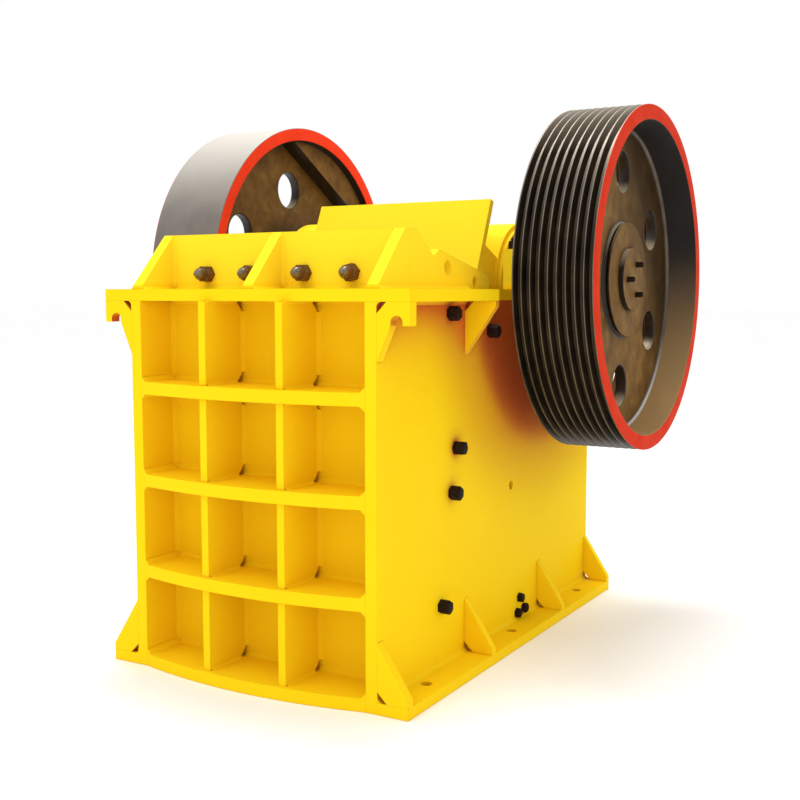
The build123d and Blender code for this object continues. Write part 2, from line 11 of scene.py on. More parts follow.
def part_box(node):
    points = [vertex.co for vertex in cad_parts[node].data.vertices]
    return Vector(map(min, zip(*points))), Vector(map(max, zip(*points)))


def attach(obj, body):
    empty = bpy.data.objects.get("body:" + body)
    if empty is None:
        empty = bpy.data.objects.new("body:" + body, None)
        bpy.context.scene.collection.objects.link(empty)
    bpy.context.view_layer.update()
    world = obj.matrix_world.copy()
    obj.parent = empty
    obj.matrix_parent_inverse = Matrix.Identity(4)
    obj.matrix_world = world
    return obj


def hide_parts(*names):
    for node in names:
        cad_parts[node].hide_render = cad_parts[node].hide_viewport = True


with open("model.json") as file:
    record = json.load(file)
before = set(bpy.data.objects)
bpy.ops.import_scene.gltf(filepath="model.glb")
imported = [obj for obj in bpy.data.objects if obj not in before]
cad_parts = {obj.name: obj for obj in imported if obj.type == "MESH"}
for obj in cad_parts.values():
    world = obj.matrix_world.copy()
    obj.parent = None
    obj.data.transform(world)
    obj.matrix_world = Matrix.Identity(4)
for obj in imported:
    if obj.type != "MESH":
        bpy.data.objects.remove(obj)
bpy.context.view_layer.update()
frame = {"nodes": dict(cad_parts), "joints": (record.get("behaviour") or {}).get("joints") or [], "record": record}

mm = 0.001
random.seed(11)
joints = {joint["name"]: joint for joint in frame["joints"]}
shaftAxis = Vector(joints["shaft_spin"]["pos_m"])
throwAxis = Vector(joints["jaw_bearing"]["pos_m"])
sideX, sideY, sideZ = Vector((1, 0, 0)), Vector((0, 1, 0)), Vector((0, 0, 1))
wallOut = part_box("right_side_wall")[1].x
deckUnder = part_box("front_deck")[0].z
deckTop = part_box("front_deck")[1].z
print("frame loaded,", len(frame["nodes"]), "nodes")


# materials

def toLinear(hexText):
    values = [int(hexText[place:place + 2], 16) / 255 for place in (1, 3, 5)]
    return [v / 12.92 if v <= 0.04045 else ((v + 0.055) / 1.055) ** 2.4 for v in values] + [1.0]


def perMetre(sizeMm):
    return 1000 / sizeMm  # scale of a pattern whose spots are about this size


def addNode(tree, kind, settings=None, links=None):
    # settings and links go by the property's or socket's name, or by number where sockets share one name:
    # a colour Mix has its factor at 0, its colours at 6 and 7 and its result at 2
    node = tree.nodes.new(kind)
    for name, value in (settings or {}).items():
        if name == "stops":
            for extra in value[2:]:
                node.color_ramp.elements.new(extra[0])
            for element, (place, colour) in zip(node.color_ramp.elements, value):
                element.position = place
                element.color = toLinear(colour)
        elif isinstance(name, str) and hasattr(node, name):
            setattr(node, name, value)
        else:
            node.inputs[name].default_value = value
    for name, source in (links or {}).items():
        tree.links.new(source, node.inputs[name])
    return node


def newMaterial(name, settings):
    material = bpy.data.materials.new(name)
    material.use_nodes = True
    tree = material.node_tree
    tree.nodes.clear()
    shader = addNode(tree, "ShaderNodeBsdfPrincipled", settings)
    addNode(tree, "ShaderNodeOutputMaterial", None, {"Surface": shader.outputs[0]})
    place = addNode(tree, "ShaderNodeTexCoord").outputs["Object"]
    return material, tree, shader, place


enamel = {
    "sun": "#F8D21A",           # where the coat is thick
    "thin": "#F3C810",          # where the gun left less
    "ior": 1.05,                # alkyd has about 1.5, lowered until plates seen at a slant keep their colour
    "gloss": (0.3, 0.46),
    "driftMm": 420,             # broad drifts of tone over a plate
    "mottleMm": 60,
    "peelMm": 9,                # real orange peel is 2 to 4 mm, drawn coarser so that it shows
    "peelDeepMm": 0.6,
    "wavinessMm": 260,          # plate pulled by its welds
    "waveDeepMm": 6,
    "edgeMm": 4,                # ground edge under the coat
    "beadMm": 0.1,              # weld beads have none
    "grimeAndShade": "#A02C18",         # painted shade in the deepest corners, with oil and primer showing there
    "cornerMm": 48,             # reach of the corner shade and grime out of a corner
    "grimeAndShadeOpen": (0.42, 0.22),  # how open a corner is where the shade and grime start and where they are full
    "grimeAndShadeShare": 0.85,
    "paintedLight": "#FFE83A",          # painted light, a paler yellow on what stands above the deck
    "paintedLightMm": 30,               # height over which it comes in
    "paintedLightShare": 0.45,
    "wallShadow": "#BE5A26",          # painted shadow on the walls beside the wheels and under the deck
    "wallShadowMm": 480,
    "wallShadowOpen": (0.99, 0.58),
    "wallShadowM": (0.35, 0.9),       # the painted shadow thins out towards the feet between these heights
}


def yellowEnamel(name, edgeMm):
    # alkyd enamel sprayed on welded plate: clean saturated colour, low sheen, grime and painted shade in the
    # corners, painted shadow on the walls beside the wheels, painted light above the deck
    material, tree, shader, place = newMaterial(name, {"IOR": enamel["ior"]})
    drift = addNode(tree, "ShaderNodeTexNoise", {"Scale": perMetre(enamel["driftMm"]), "Detail": 3.0},
                    {"Vector": place})
    mottle = addNode(tree, "ShaderNodeTexNoise", {"Scale": perMetre(enamel["mottleMm"]), "Detail": 4.0},
                     {"Vector": place})
    coat = addNode(tree, "ShaderNodeMix",
                   {"data_type": "RGBA", 6: toLinear(enamel["sun"]), 7: toLinear(enamel["thin"])},
                   {0: drift.outputs["Fac"]})
    spot = addNode(tree, "ShaderNodeSeparateXYZ", None, {"Vector": place})
    # painted light: paler yellow above the deck
    litShare = addNode(tree, "ShaderNodeMapRange", {
        "From Min": deckTop,
        "From Max": deckTop + enamel["paintedLightMm"] * mm,
        "To Max": enamel["paintedLightShare"],
    }, {"Value": spot.outputs["Z"]})
    lightened = addNode(tree, "ShaderNodeMix", {"data_type": "RGBA", 7: toLinear(enamel["paintedLight"])},
                    {0: litShare.outputs[0], 6: coat.outputs[2]})
    # painted shade, with some grime, in the tightest corners
    corner = addNode(tree, "ShaderNodeAmbientOcclusion", {"samples": 6, "Distance": enamel["cornerMm"] * mm})
    soiledAndShaded = addNode(tree, "ShaderNodeMapRange", {
        "From Min": enamel["grimeAndShadeOpen"][0],
        "From Max": enamel["grimeAndShadeOpen"][1],
        "To Max": enamel["grimeAndShadeShare"],
    }, {"Value": corner.outputs["AO"]})
    colour = addNode(tree, "ShaderNodeMix", {"data_type": "RGBA", 7: toLinear(enamel["grimeAndShade"])},
                     {0: soiledAndShaded.outputs[0], 6: lightened.outputs[2]})
    # painted shadow on the walls' outer faces, where the wheels shelter them, under the deck and above the feet
    shelter = addNode(tree, "ShaderNodeAmbientOcclusion", {"samples": 8, "Distance": enamel["wallShadowMm"] * mm})
    thick = addNode(tree, "ShaderNodeMapRange",
                    {"From Min": enamel["wallShadowOpen"][0], "From Max": enamel["wallShadowOpen"][1]},
                    {"Value": shelter.outputs["AO"]})
    shadowHeight = addNode(tree, "ShaderNodeMapRange",
                     {"From Min": enamel["wallShadowM"][0], "From Max": enamel["wallShadowM"][1]},
                     {"Value": spot.outputs["Z"]})
    across = addNode(tree, "ShaderNodeMath", {"operation": "ABSOLUTE"}, {0: spot.outputs["X"]})
    outside = addNode(tree, "ShaderNodeMath", {"operation": "GREATER_THAN", 1: wallOut - mm},
                      {0: across.outputs[0]})
    below = addNode(tree, "ShaderNodeMath", {"operation": "LESS_THAN", 1: deckUnder + mm},
                    {0: spot.outputs["Z"]})
    lie = addNode(tree, "ShaderNodeSeparateXYZ", None, {"Vector": place.node.outputs["Normal"]})
    sideways = addNode(tree, "ShaderNodeMath", {"operation": "ABSOLUTE"}, {0: lie.outputs["X"]})
    share = thick
    for limit in (shadowHeight, outside, below, sideways):
        share = addNode(tree, "ShaderNodeMath", {"operation": "MULTIPLY"},
                        {0: share.outputs[0], 1: limit.outputs[0]})
    wallShadowed = addNode(tree, "ShaderNodeMix", {"data_type": "RGBA", 7: toLinear(enamel["wallShadow"])},
                     {0: share.outputs[0], 6: colour.outputs[2]})
    gloss = addNode(tree, "ShaderNodeMapRange", {"To Min": enamel["gloss"][0], "To Max": enamel["gloss"][1]},
                    {"Value": mottle.outputs["Fac"]})
    edge = addNode(tree, "ShaderNodeBevel", {"samples": 4, "Radius": edgeMm * mm})
    waves = addNode(tree, "ShaderNodeTexNoise", {"Scale": perMetre(enamel["wavinessMm"])}, {"Vector": place})
    peel = addNode(tree, "ShaderNodeTexNoise", {"Scale": perMetre(enamel["peelMm"])}, {"Vector": place})
    dished = addNode(tree, "ShaderNodeBump", {"Strength": 0.25, "Distance": enamel["waveDeepMm"] * mm},
                     {"Height": waves.outputs["Fac"], "Normal": edge.outputs[0]})
    peeled = addNode(tree, "ShaderNodeBump", {"Strength": 0.12, "Distance": enamel["peelDeepMm"] * mm},
                     {"Height": peel.outputs["Fac"], "Normal": dished.outputs[0]})
    tree.links.new(wallShadowed.outputs[2], shader.inputs["Base Color"])
    tree.links.new(gloss.outputs[0], shader.inputs["Roughness"])
    tree.links.new(peeled.outputs[0], shader.inputs["Normal"])
    return material


redCoat = {
    "sheave": ("#D63C20", "#BE2A10"),    # where the coat is thick and where it is thin
    # painted light: a brighter copy of the red, for the flywheel's face that lies in shade
    "flywheel": ("#F8452A", "#E23A1C"),
    "gloss": (0.35, 0.5),
    "mottleMm": 90,
}


def redEnamel(name, colours):
    # red-orange enamel brushed on the turned rim faces: flat colour with a few thin places
    material, tree, shader, place = newMaterial(name, {"IOR": enamel["ior"]})
    mottle = addNode(tree, "ShaderNodeTexNoise", {"Scale": perMetre(redCoat["mottleMm"]), "Detail": 4.0},
                     {"Vector": place})
    colour = addNode(tree, "ShaderNodeMix",
                     {"data_type": "RGBA", 6: toLinear(colours[0]), 7: toLinear(colours[1])},
                     {0: mottle.outputs["Fac"]})
    gloss = addNode(tree, "ShaderNodeMapRange",
                    {"To Min": redCoat["gloss"][0], "To Max": redCoat["gloss"][1]},
                    {"Value": mottle.outputs["Fac"]})
    tree.links.new(colour.outputs[2], shader.inputs["Base Color"])
    tree.links.new(gloss.outputs[0], shader.inputs["Roughness"])
    return material


casting = {
    "stops": [(0.3, "#5A3E1C"), (0.55, "#75562A"), (0.78, "#8E6E3C")],  # oil, skin and pale spots
    "metallic": 0.05,         # the film hides most of the metal
    "ior": 1.15,              # oil has about 1.5, lowered to match the dull film
    "gloss": (0.42, 0.66),
    "grainMm": 12,            # sand grain is under 1 mm, drawn coarser so that it shows
    "pitMm": 1.0,
    "stainMm": 90,
    "sootAndShade": "#1C130B",        # painted shade in the dishes, with black oil gathered there
    "sootAndShadeMm": 170,
    "sootAndShadeOpen": (0.8, 0.3),
    "sootAndShadeShare": 0.85,
    "backShade": 0.8,              # painted shade on the sheave, darker towards the back and the top
    "backShadeRise": 0.6,          # how much height counts beside distance to the back
    "backShadeM": (0.05, 0.5),
}


def oiledIron(name, backShade):
    # grey iron casting under a brown film of oil: mottled, half glossy, with the grain of the sand mould, and
    # painted shade in the dishes and towards the back and the top
    settings = {"Metallic": casting["metallic"], "IOR": casting["ior"]}
    material, tree, shader, place = newMaterial(name, settings)
    stain = addNode(tree, "ShaderNodeTexNoise",
                    {"Scale": perMetre(casting["stainMm"]), "Detail": 6.0, "Roughness": 0.62},
                    {"Vector": place})
    grain = addNode(tree, "ShaderNodeTexNoise", {"Scale": perMetre(casting["grainMm"]), "Detail": 3.0},
                    {"Vector": place})
    colour = addNode(tree, "ShaderNodeValToRGB", {"stops": casting["stops"]}, {"Fac": stain.outputs["Fac"]})
    # painted shade, with black oil, in the dishes
    shelter = addNode(tree, "ShaderNodeAmbientOcclusion", {"samples": 6, "Distance": casting["sootAndShadeMm"] * mm})
    dishDarkening = addNode(tree, "ShaderNodeMapRange", {
        "From Min": casting["sootAndShadeOpen"][0],
        "From Max": casting["sootAndShadeOpen"][1],
        "To Max": casting["sootAndShadeShare"],
    }, {"Value": shelter.outputs["AO"]})
    # painted shade, darker towards the back and the top of the sheave
    spot = addNode(tree, "ShaderNodeSeparateXYZ", None, {"Vector": place})
    rise = casting["backShadeRise"]
    above = addNode(tree, "ShaderNodeMath",
                    {"operation": "MULTIPLY_ADD", 1: rise, 2: -rise * shaftAxis.z - shaftAxis.y},
                    {0: spot.outputs["Z"]})
    lean = addNode(tree, "ShaderNodeMath", {"operation": "ADD"}, {0: above.outputs[0], 1: spot.outputs["Y"]})
    backShaded = addNode(tree, "ShaderNodeMapRange",
                     {"From Min": casting["backShadeM"][0], "From Max": casting["backShadeM"][1], "To Max": backShade},
                     {"Value": lean.outputs[0]})
    black = addNode(tree, "ShaderNodeMath", {"operation": "MAXIMUM"},
                    {0: dishDarkening.outputs[0], 1: backShaded.outputs[0]})
    darkened = addNode(tree, "ShaderNodeMix", {"data_type": "RGBA", 7: toLinear(casting["sootAndShade"])},
                     {0: black.outputs[0], 6: colour.outputs[0]})
    gloss = addNode(tree, "ShaderNodeMapRange",
                    {"To Min": casting["gloss"][0], "To Max": casting["gloss"][1]},
                    {"Value": stain.outputs["Fac"]})
    pitted = addNode(tree, "ShaderNodeBump", {"Strength": 0.3, "Distance": casting["pitMm"] * mm},
                     {"Height": grain.outputs["Fac"]})
    tree.links.new(darkened.outputs[2], shader.inputs["Base Color"])
    tree.links.new(gloss.outputs[0], shader.inputs["Roughness"])
    tree.links.new(pitted.outputs[0], shader.inputs["Normal"])
    return material


turning = {
    "stainMm": 120,
    "stretch": 0.02,          # the tool's rings run on round the wheel
    "ringDeepMm": 0.3,
    "ringShare": 0.5,         # the rings count half beside the stains
    "stops": (0.45, 1.0),     # where the two tones lie on rings and stains together
    "glossier": 0.08,
    "duller": 0.12,
    "paintedLightShare": 0.9,
    "crestM": (0.5, 0.75),    # heights above the shaft where a wheel's crest takes more painted light
}


def latheCut(name, colours, roughness, feedMm, metallic, paintedLight, crest=0.0, paintedLightFrom=0.3):
    # turned metal: rings of the tool, drawn coarser than real ones so that they show,
    # and painted light on what faces up
    material, tree, shader, place = newMaterial(name, {"Metallic": metallic})
    axial = addNode(tree, "ShaderNodeMapping", {"Scale": (1.0, turning["stretch"], turning["stretch"])},
                    {"Vector": place})
    feed = addNode(tree, "ShaderNodeTexNoise", {"Scale": perMetre(feedMm), "Detail": 2.0},
                   {"Vector": axial.outputs[0]})
    stain = addNode(tree, "ShaderNodeTexNoise", {"Scale": perMetre(turning["stainMm"]), "Detail": 5.0},
                    {"Vector": place})
    blend = addNode(tree, "ShaderNodeMath", {"operation": "MULTIPLY_ADD", 1: turning["ringShare"]},
                    {0: feed.outputs["Fac"], 2: stain.outputs["Fac"]})
    colour = addNode(tree, "ShaderNodeValToRGB", {"stops": list(zip(turning["stops"], colours))},
                     {"Fac": blend.outputs[0]})
    # painted light on what faces up and at a wheel's crest
    lie = addNode(tree, "ShaderNodeSeparateXYZ", None, {"Vector": place.node.outputs["Normal"]})
    litShare = addNode(tree, "ShaderNodeMapRange",
                      {"interpolation_type": "SMOOTHSTEP", "From Min": paintedLightFrom,
                       "To Max": turning["paintedLightShare"]}, {"Value": lie.outputs["Z"]})
    spot = addNode(tree, "ShaderNodeSeparateXYZ", None, {"Vector": place})
    top = addNode(tree, "ShaderNodeMapRange", {
        "From Min": shaftAxis.z + turning["crestM"][0],
        "From Max": shaftAxis.z + turning["crestM"][1],
        "To Max": crest,
    }, {"Value": spot.outputs["Z"]})
    share = addNode(tree, "ShaderNodeMath", {"operation": "MAXIMUM"},
                    {0: litShare.outputs[0], 1: top.outputs[0]})
    lightened = addNode(tree, "ShaderNodeMix", {"data_type": "RGBA", 7: toLinear(paintedLight)},
                    {0: share.outputs[0], 6: colour.outputs[0]})
    gloss = addNode(tree, "ShaderNodeMapRange",
                    {"To Min": roughness - turning["glossier"], "To Max": roughness + turning["duller"]},
                    {"Value": feed.outputs["Fac"]})
    rings = addNode(tree, "ShaderNodeBump", {"Strength": 0.2, "Distance": turning["ringDeepMm"] * mm},
                    {"Height": feed.outputs["Fac"]})
    tree.links.new(lightened.outputs[2], shader.inputs["Base Color"])
    tree.links.new(gloss.outputs[0], shader.inputs["Roughness"])
    tree.links.new(rings.outputs[0], shader.inputs["Normal"])
    return material


skin = {
    "stops": (0.3, 0.7),      # where the two tones lie on the grain
    "specular": 0.06,         # dull
    "glossSpread": 0.1,
}


def roughSteel(name, colours, roughness, grainMm, metallic, pitMm):
    # steel as cast, rolled or blackened: uneven dark skin
    settings = {"Metallic": metallic, "Specular IOR Level": skin["specular"]}
    material, tree, shader, place = newMaterial(name, settings)
    grain = addNode(tree, "ShaderNodeTexNoise", {"Scale": perMetre(grainMm), "Detail": 5.0, "Roughness": 0.6},
                    {"Vector": place})
    colour = addNode(tree, "ShaderNodeValToRGB", {"stops": list(zip(skin["stops"], colours))},
                     {"Fac": grain.outputs["Fac"]})
    gloss = addNode(tree, "ShaderNodeMapRange",
                    {"To Min": roughness - skin["glossSpread"], "To Max": roughness + skin["glossSpread"]},
                    {"Value": grain.outputs["Fac"]})
    pitted = addNode(tree, "ShaderNodeBump", {"Strength": 0.4, "Distance": pitMm * mm},
                     {"Height": grain.outputs["Fac"]})
    tree.links.new(colour.outputs[0], shader.inputs["Base Color"])
    tree.links.new(gloss.outputs[0], shader.inputs["Roughness"])
    tree.links.new(pitted.outputs[0], shader.inputs["Normal"])
    return material


yellow = yellowEnamel("alkyd_enamel_yellow", enamel["edgeMm"])
beadYellow = yellowEnamel("alkyd_enamel_yellow_bead", enamel["beadMm"])
red = redEnamel("alkyd_enamel_red", redCoat["sheave"])
# the flywheel's red: a brighter copy as painted light
brightenedRed = redEnamel("alkyd_enamel_red_brightened", redCoat["flywheel"])
iron = oiledIron("grey_iron_oiled", 0.0)
# the sheave's iron: painted shade towards the back and the top
sheaveIron = oiledIron("grey_iron_oiled_shaded", casting["backShade"])
# inside of the rims: black above as painted shade, beige painted light where it faces up
boreIron = latheCut("grey_iron_bored", ("#0C0705", "#1C140E"), roughness=0.55, feedMm=4, metallic=0.4,
                    paintedLight="#BE9862", paintedLightFrom=-0.3)
# sides of the hubs, the end discs and the web's holes: black as painted shade, with a light crescent on top as a
# painted highlight
hubIron = latheCut("grey_iron_hub", ("#140C06", "#2A1C12"), roughness=0.46, feedMm=3, metallic=0.2,
                   paintedLight="#C8B696")
# fillet between web and rim: a painted highlight line
ringIron = latheCut("grey_iron_ring", ("#3A3026", "#5E5244"), roughness=0.3, feedMm=3, metallic=0.5,
                    paintedLight="#F2E8DA")
# flywheel's rim: even grey, with painted light that makes it nearly white on top
rimIron = latheCut("grey_iron_turned", ("#5E5750", "#716A63"), roughness=0.55, feedMm=2.5, metallic=0.2,
                   paintedLight="#C2BCB2")
# lands between the grooves: thin grey lines, with painted light where they face up and at the crest of the wheel
landIron = latheCut("grey_iron_land", ("#4A4036", "#786E62"), roughness=0.45, feedMm=1.5, metallic=0.4,
                    paintedLight="#94877A", crest=0.7)
# grooves: black, with painted light at the crest of the wheel
grooveIron = latheCut("grey_iron_groove", ("#120D08", "#3C2E1C"), roughness=0.38, feedMm=3, metallic=0.6,
                      paintedLight="#B0A490", crest=0.75)
# ground shaft: bright and even
shaftSteel = latheCut("carbon_steel_ground", ("#9A9894", "#C4C2BE"), roughness=0.25, feedMm=1, metallic=1.0,
                      paintedLight="#A8A49C")
# blackened nuts: nearly black, dull
boltSteel = roughSteel("bolt_steel_blackened", ("#140B08", "#30201A"), roughness=0.6, grainMm=9, metallic=0.0,
                       pitMm=0.5)
# nuts on the feed lip: brown rust
rustSteel = roughSteel("bolt_steel_rusted", ("#483018", "#7E5C36"), roughness=0.5, grainMm=7, metallic=0.2,
                       pitMm=0.4)
# their threads: rubbed grey
wornSteel = roughSteel("bolt_steel_worn", ("#453D36", "#8C8276"), roughness=0.3, grainMm=6, metallic=0.6,
                       pitMm=0.2)
# jaw and cheek plates: dark cast skin
jawSteel = roughSteel("manganese_steel_cast", ("#3A3734", "#66605A"), roughness=0.55, grainMm=25,
                      metallic=0.7, pitMm=2.0)
# spring and rod: blue-black scale
springSteel = roughSteel("spring_steel_scaled", ("#1E1C1A", "#3B3733"), roughness=0.42, grainMm=12,
                         metallic=0.8, pitMm=0.3)
print("materials ready")

finishes = {
    "yellow_paint": yellow,
    "cast_wheel": iron,
    "bright_steel": shaftSteel,
    "jaw_steel": jawSteel,
    "dark_steel": springSteel,
}
for row in frame["record"]["subparts"]:
    solid = frame["nodes"][row["node"]]
    solid.data.materials.clear()
    solid.data.materials.append(finishes[row["material_slot"]])
endFace = 0.5  # share of a face's normal along the shaft that makes it an end, not a side
# the discs' turned sides take the hub's finish: black as painted shade, with a painted highlight on top
discs = frame["nodes"]["end_discs"].data
discs.materials.append(hubIron)
for face in discs.polygons:
    face.material_index = int(abs(face.normal.x) <= endFace)  # turned sides round the cast faces


# mesh tools

def newPile():
    return {"points": [], "faces": [], "finish": []}


def turned(pile, matrix, rings, sides, closed=False, phase=0.0):
    # rings are (along, radius, finish of the strip to the next ring); no finish leaves the strip open
    first = len(pile["points"])
    for along, radius, _ in rings:
        for side in range(sides):
            turn = phase + 2 * math.pi * side / sides
            pile["points"].append(matrix @ Vector((radius * math.cos(turn), radius * math.sin(turn), along)))
    count = len(rings)
    for number in range(count if closed else count - 1):
        finish = rings[number][2]
        if finish is None:
            continue
        low = first + number * sides
        high = first + (number + 1) % count * sides
        for side in range(sides):
            after = (side + 1) % sides
            pile["faces"].append((low + side, low + after, high + after, high + side))
            pile["finish"].append(finish)
    if not closed:
        last = first + (count - 1) * sides
        pile["faces"].append(tuple(range(first + sides - 1, first - 1, -1)))
        pile["faces"].append(tuple(range(last, last + sides)))
        pile["finish"].extend((rings[0][2], rings[-1][2]))
    return first


def finishPiece(name, pile, materials, body, sharpAngle=34):
    mesh = bpy.data.meshes.new(name)
    mesh.from_pydata(pile["points"], [], pile["faces"])
    for material in materials:
        mesh.materials.append(material)
    mesh.polygons.foreach_set("material_index", pile["finish"])
    shape = bmesh.new()
    shape.from_mesh(mesh)
    bmesh.ops.recalc_face_normals(shape, faces=shape.faces)
    shape.to_mesh(mesh)
    shape.free()
    mesh.polygons.foreach_set("use_smooth", [True] * len(mesh.polygons))
    mesh.set_sharp_from_angle(angle=math.radians(sharpAngle))
    piece = bpy.data.objects.new(name, mesh)
    bpy.context.scene.collection.objects.link(piece)
    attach(piece, body)
    return piece


def placed(point, along):
    return Matrix.Translation(point) @ Vector(along).to_track_quat("Z", "Y").to_matrix().to_4x4()


def roundedOutline(corners, steps):
    # corners are (x, r, radius, finish); a radius turns the corner into an arc
    outline = []
    count = len(corners)
    for number, (x, r, radius, finish) in enumerate(corners):
        here = Vector((x, r))
        if radius == 0:
            outline.append((x, r, finish))
            continue
        before = Vector(corners[number - 1][:2]) - here
        after = Vector(corners[(number + 1) % count][:2]) - here
        before.normalize()
        after.normalize()
        half = before.angle(after) / 2
        centre = here + (before + after).normalized() * (radius / math.sin(half))
        begin = here + before * (radius / math.tan(half)) - centre
        finishAt = here + after * (radius / math.tan(half)) - centre
        for step in range(steps + 1):
            share = step / steps
            spoke = begin.normalized().slerp(finishAt.normalized(), share) * radius
            outline.append((centre.x + spoke.x, centre.y + spoke.y, finish))
    return outline


# belt sheave and flywheel

wheel = {                     # millimetres; hub, seat, hole and its circle are radii
    "sheaveRim": 65,
    "flywheelRim": 60,
    "rimDraft": 12,           # the dish narrows by this towards the web
    "rimFillet": 16,
    "edge": 3,
    "sheaveWeb": 146,         # from the wheel's inner face
    "flywheelWeb": 128,
    "web": 50,                # its thickness
    "hub": 250,
    "hubFillet": 9,
    "hubRound": 7,
    "hubRecess": 113,         # hub's end behind the rim's outer face
    "hubDisc": 10,            # turned disc on the hub's end, with a neck behind it
    "discRound": 2,
    "faceRound": 3,
    "hubNeck": 8,
    "neckDepth": 16,
    "neckRound": 1,
    "seat": 115,              # on the shaft
    "holes": 6,
    "hole": 90,
    "holeCircle": 470,
    "holeRound": 5,
    "holeInside": 4.5,        # the web's triangles with their middle this near the bore are in the opening
    "sides": 240,
    "holeSides": 44,
    "arcSteps": 5,
    "holeSteps": 3,
    "near": 0.05,             # level with the web
    "merge": 1e-5,
}
groove = {"count": 9, "pitch": 37, "fromEdge": 23, "width": 32, "depth": 28, "angle": 38,
          "lip": 1.6, "root": 3.0}  # lip and root are roundings
weight = {
    "chord": 577,             # from the shaft to its flat side
    "angle": 60,              # degrees up from the back
    "recess": 42,             # its face behind the rim's inner face
    "sink": 20,               # into the rim and the web
    "steps": 40,
    "round": 9,
    "roundSteps": 3,
    "sharp": 40,              # an edge that turns by more degrees is rounded
}
castFinish, redFinish, boreFinish, ringFinish, landFinish, hubFinish, grooveFinish = range(7)


def wheelOutline(width, radius, rimCorners, rim, webIn, backFinish):
    # half section of a wheel, from its rim round the outer dish, the hub and the inner dish
    bore = radius - rim
    root = bore - wheel["rimDraft"]
    webOut = webIn + wheel["web"]
    hubOut = width - wheel["hubRecess"]
    discIn = hubOut - wheel["hubDisc"]
    neckIn = discIn - wheel["hubNeck"]
    neck = wheel["hub"] - wheel["neckDepth"]
    corners = [
        *rimCorners,
        (width, bore, wheel["edge"], boreFinish),
        (webOut, root, wheel["rimFillet"], ringFinish),
        (webOut, wheel["hub"], wheel["hubFillet"], hubFinish),
        (neckIn, wheel["hub"], wheel["hubRound"], hubFinish),
        (neckIn, neck, wheel["neckRound"], hubFinish),
        (discIn, neck, wheel["neckRound"], hubFinish),
        (discIn, wheel["hub"], wheel["discRound"], hubFinish),
        (hubOut, wheel["hub"], wheel["faceRound"], castFinish),
        (hubOut, wheel["seat"], 0, castFinish),
        (0, wheel["seat"], 0, castFinish),
        (0, wheel["hub"], wheel["hubRound"], castFinish),
        (webIn, wheel["hub"], wheel["hubFillet"], castFinish),
        (webIn, root, wheel["rimFillet"], backFinish),
        (0, bore, wheel["edge"], redFinish),
    ]
    return roundedOutline(corners, wheel["arcSteps"]), webOut


def holedWeb(pile, outline, first, level, matrix):
    # flat web between its two fillets, with the round openings left out
    sides = wheel["sides"]
    rings = sorted((r, number) for number, (x, r, _) in enumerate(outline)
                   if abs(x - level) < wheel["near"])
    (hubRadius, hubRing), (rimRadius, rimRing) = rings[0], rings[-1]
    flat = []
    index = []
    edges = []
    for radius, ring in ((hubRadius, hubRing), (rimRadius, rimRing)):
        start = len(flat)
        for side in range(sides):
            turn = 2 * math.pi * side / sides
            flat.append(Vector((radius * math.cos(turn), radius * math.sin(turn))))
            index.append(first + ring * sides + side)
            edges.append((start + side, start + (side + 1) % sides))
    centres = []
    for number in range(wheel["holes"]):
        turn = math.radians(90 + number * 360 / wheel["holes"])
        centre = Vector((math.cos(turn), math.sin(turn))) * wheel["holeCircle"]
        centres.append(centre)
        start = len(flat)
        for side in range(wheel["holeSides"]):
            turn = 2 * math.pi * side / wheel["holeSides"]
            spot = centre + Vector((math.cos(turn), math.sin(turn))) * (wheel["hole"] + wheel["holeRound"])
            flat.append(spot)
            index.append(len(pile["points"]))
            pile["points"].append(matrix @ Vector((spot.x, spot.y, level)))
            edges.append((start + side, start + (side + 1) % wheel["holeSides"]))
    made = delaunay_2d_cdt(flat, edges, [], 0, wheel["merge"])
    spots, faces, origins = made[0], made[2], made[3]
    opening = wheel["hole"] + wheel["holeInside"]
    for face in faces:
        middle = sum((spots[corner] for corner in face), Vector((0, 0))) / len(face)
        inHole = any((middle - centre).length < opening for centre in centres)
        if inHole or not hubRadius < middle.length < rimRadius:
            continue
        pile["faces"].append(tuple(index[origins[corner][0]] for corner in face))
        pile["finish"].append(castFinish)
    return centres


def webBores(pile, matrix, centres, webIn, webOut):
    # bores of the web's holes, rounded at both ends, in the hub's finish of painted shade with a painted highlight
    # on top
    bend = wheel["holeRound"]
    rings = []
    for step in range(wheel["holeSteps"] + 1):
        turn = math.pi / 2 * step / wheel["holeSteps"]
        along = webIn + bend * (1 - math.cos(turn))
        rings.append((along, wheel["hole"] + bend * (1 - math.sin(turn)), hubFinish))
    rings += [(webIn + webOut - along, radius, hubFinish) for along, radius, _ in reversed(rings)]
    rings[-1] = (*rings[-1][:2], None)  # no strip back to the first ring
    for centre in centres:
        turned(pile, matrix @ Matrix.Translation((centre.x, centre.y, 0)), rings, wheel["holeSides"], True)


def wheelPile(width, radius, rimCorners, rim, webIn, matrix, backFinish):
    # the outline turned, with the flats of the web made apart for their holes
    pile = newPile()
    outline, webOut = wheelOutline(width, radius, rimCorners, rim, webIn, backFinish)
    rings = []
    for number, (x, r, finish) in enumerate(outline):
        after = outline[(number + 1) % len(outline)]
        onWeb = any(max(abs(x - level), abs(after[0] - level)) < wheel["near"]
                    for level in (webIn, webOut))
        rings.append((x, r, None if onWeb else finish))
    first = turned(pile, matrix, rings, wheel["sides"], True)
    for level in (webIn, webOut):
        centres = holedWeb(pile, outline, first, level, matrix)
    webBores(pile, matrix, centres, webIn, webOut)
    return pile


def wheelMatrix(innerFace, side):
    # local +Z runs outwards along the shaft, local X and Y are the frame's Y and Z, in millimetres
    base = Matrix(((0, 0, side, 0), (1, 0, 0, 0), (0, 1, 0, 0), (0, 0, 0, 1)))
    return Matrix.Translation((innerFace, shaftAxis.y, shaftAxis.z)) @ base @ Matrix.Scale(mm, 4)


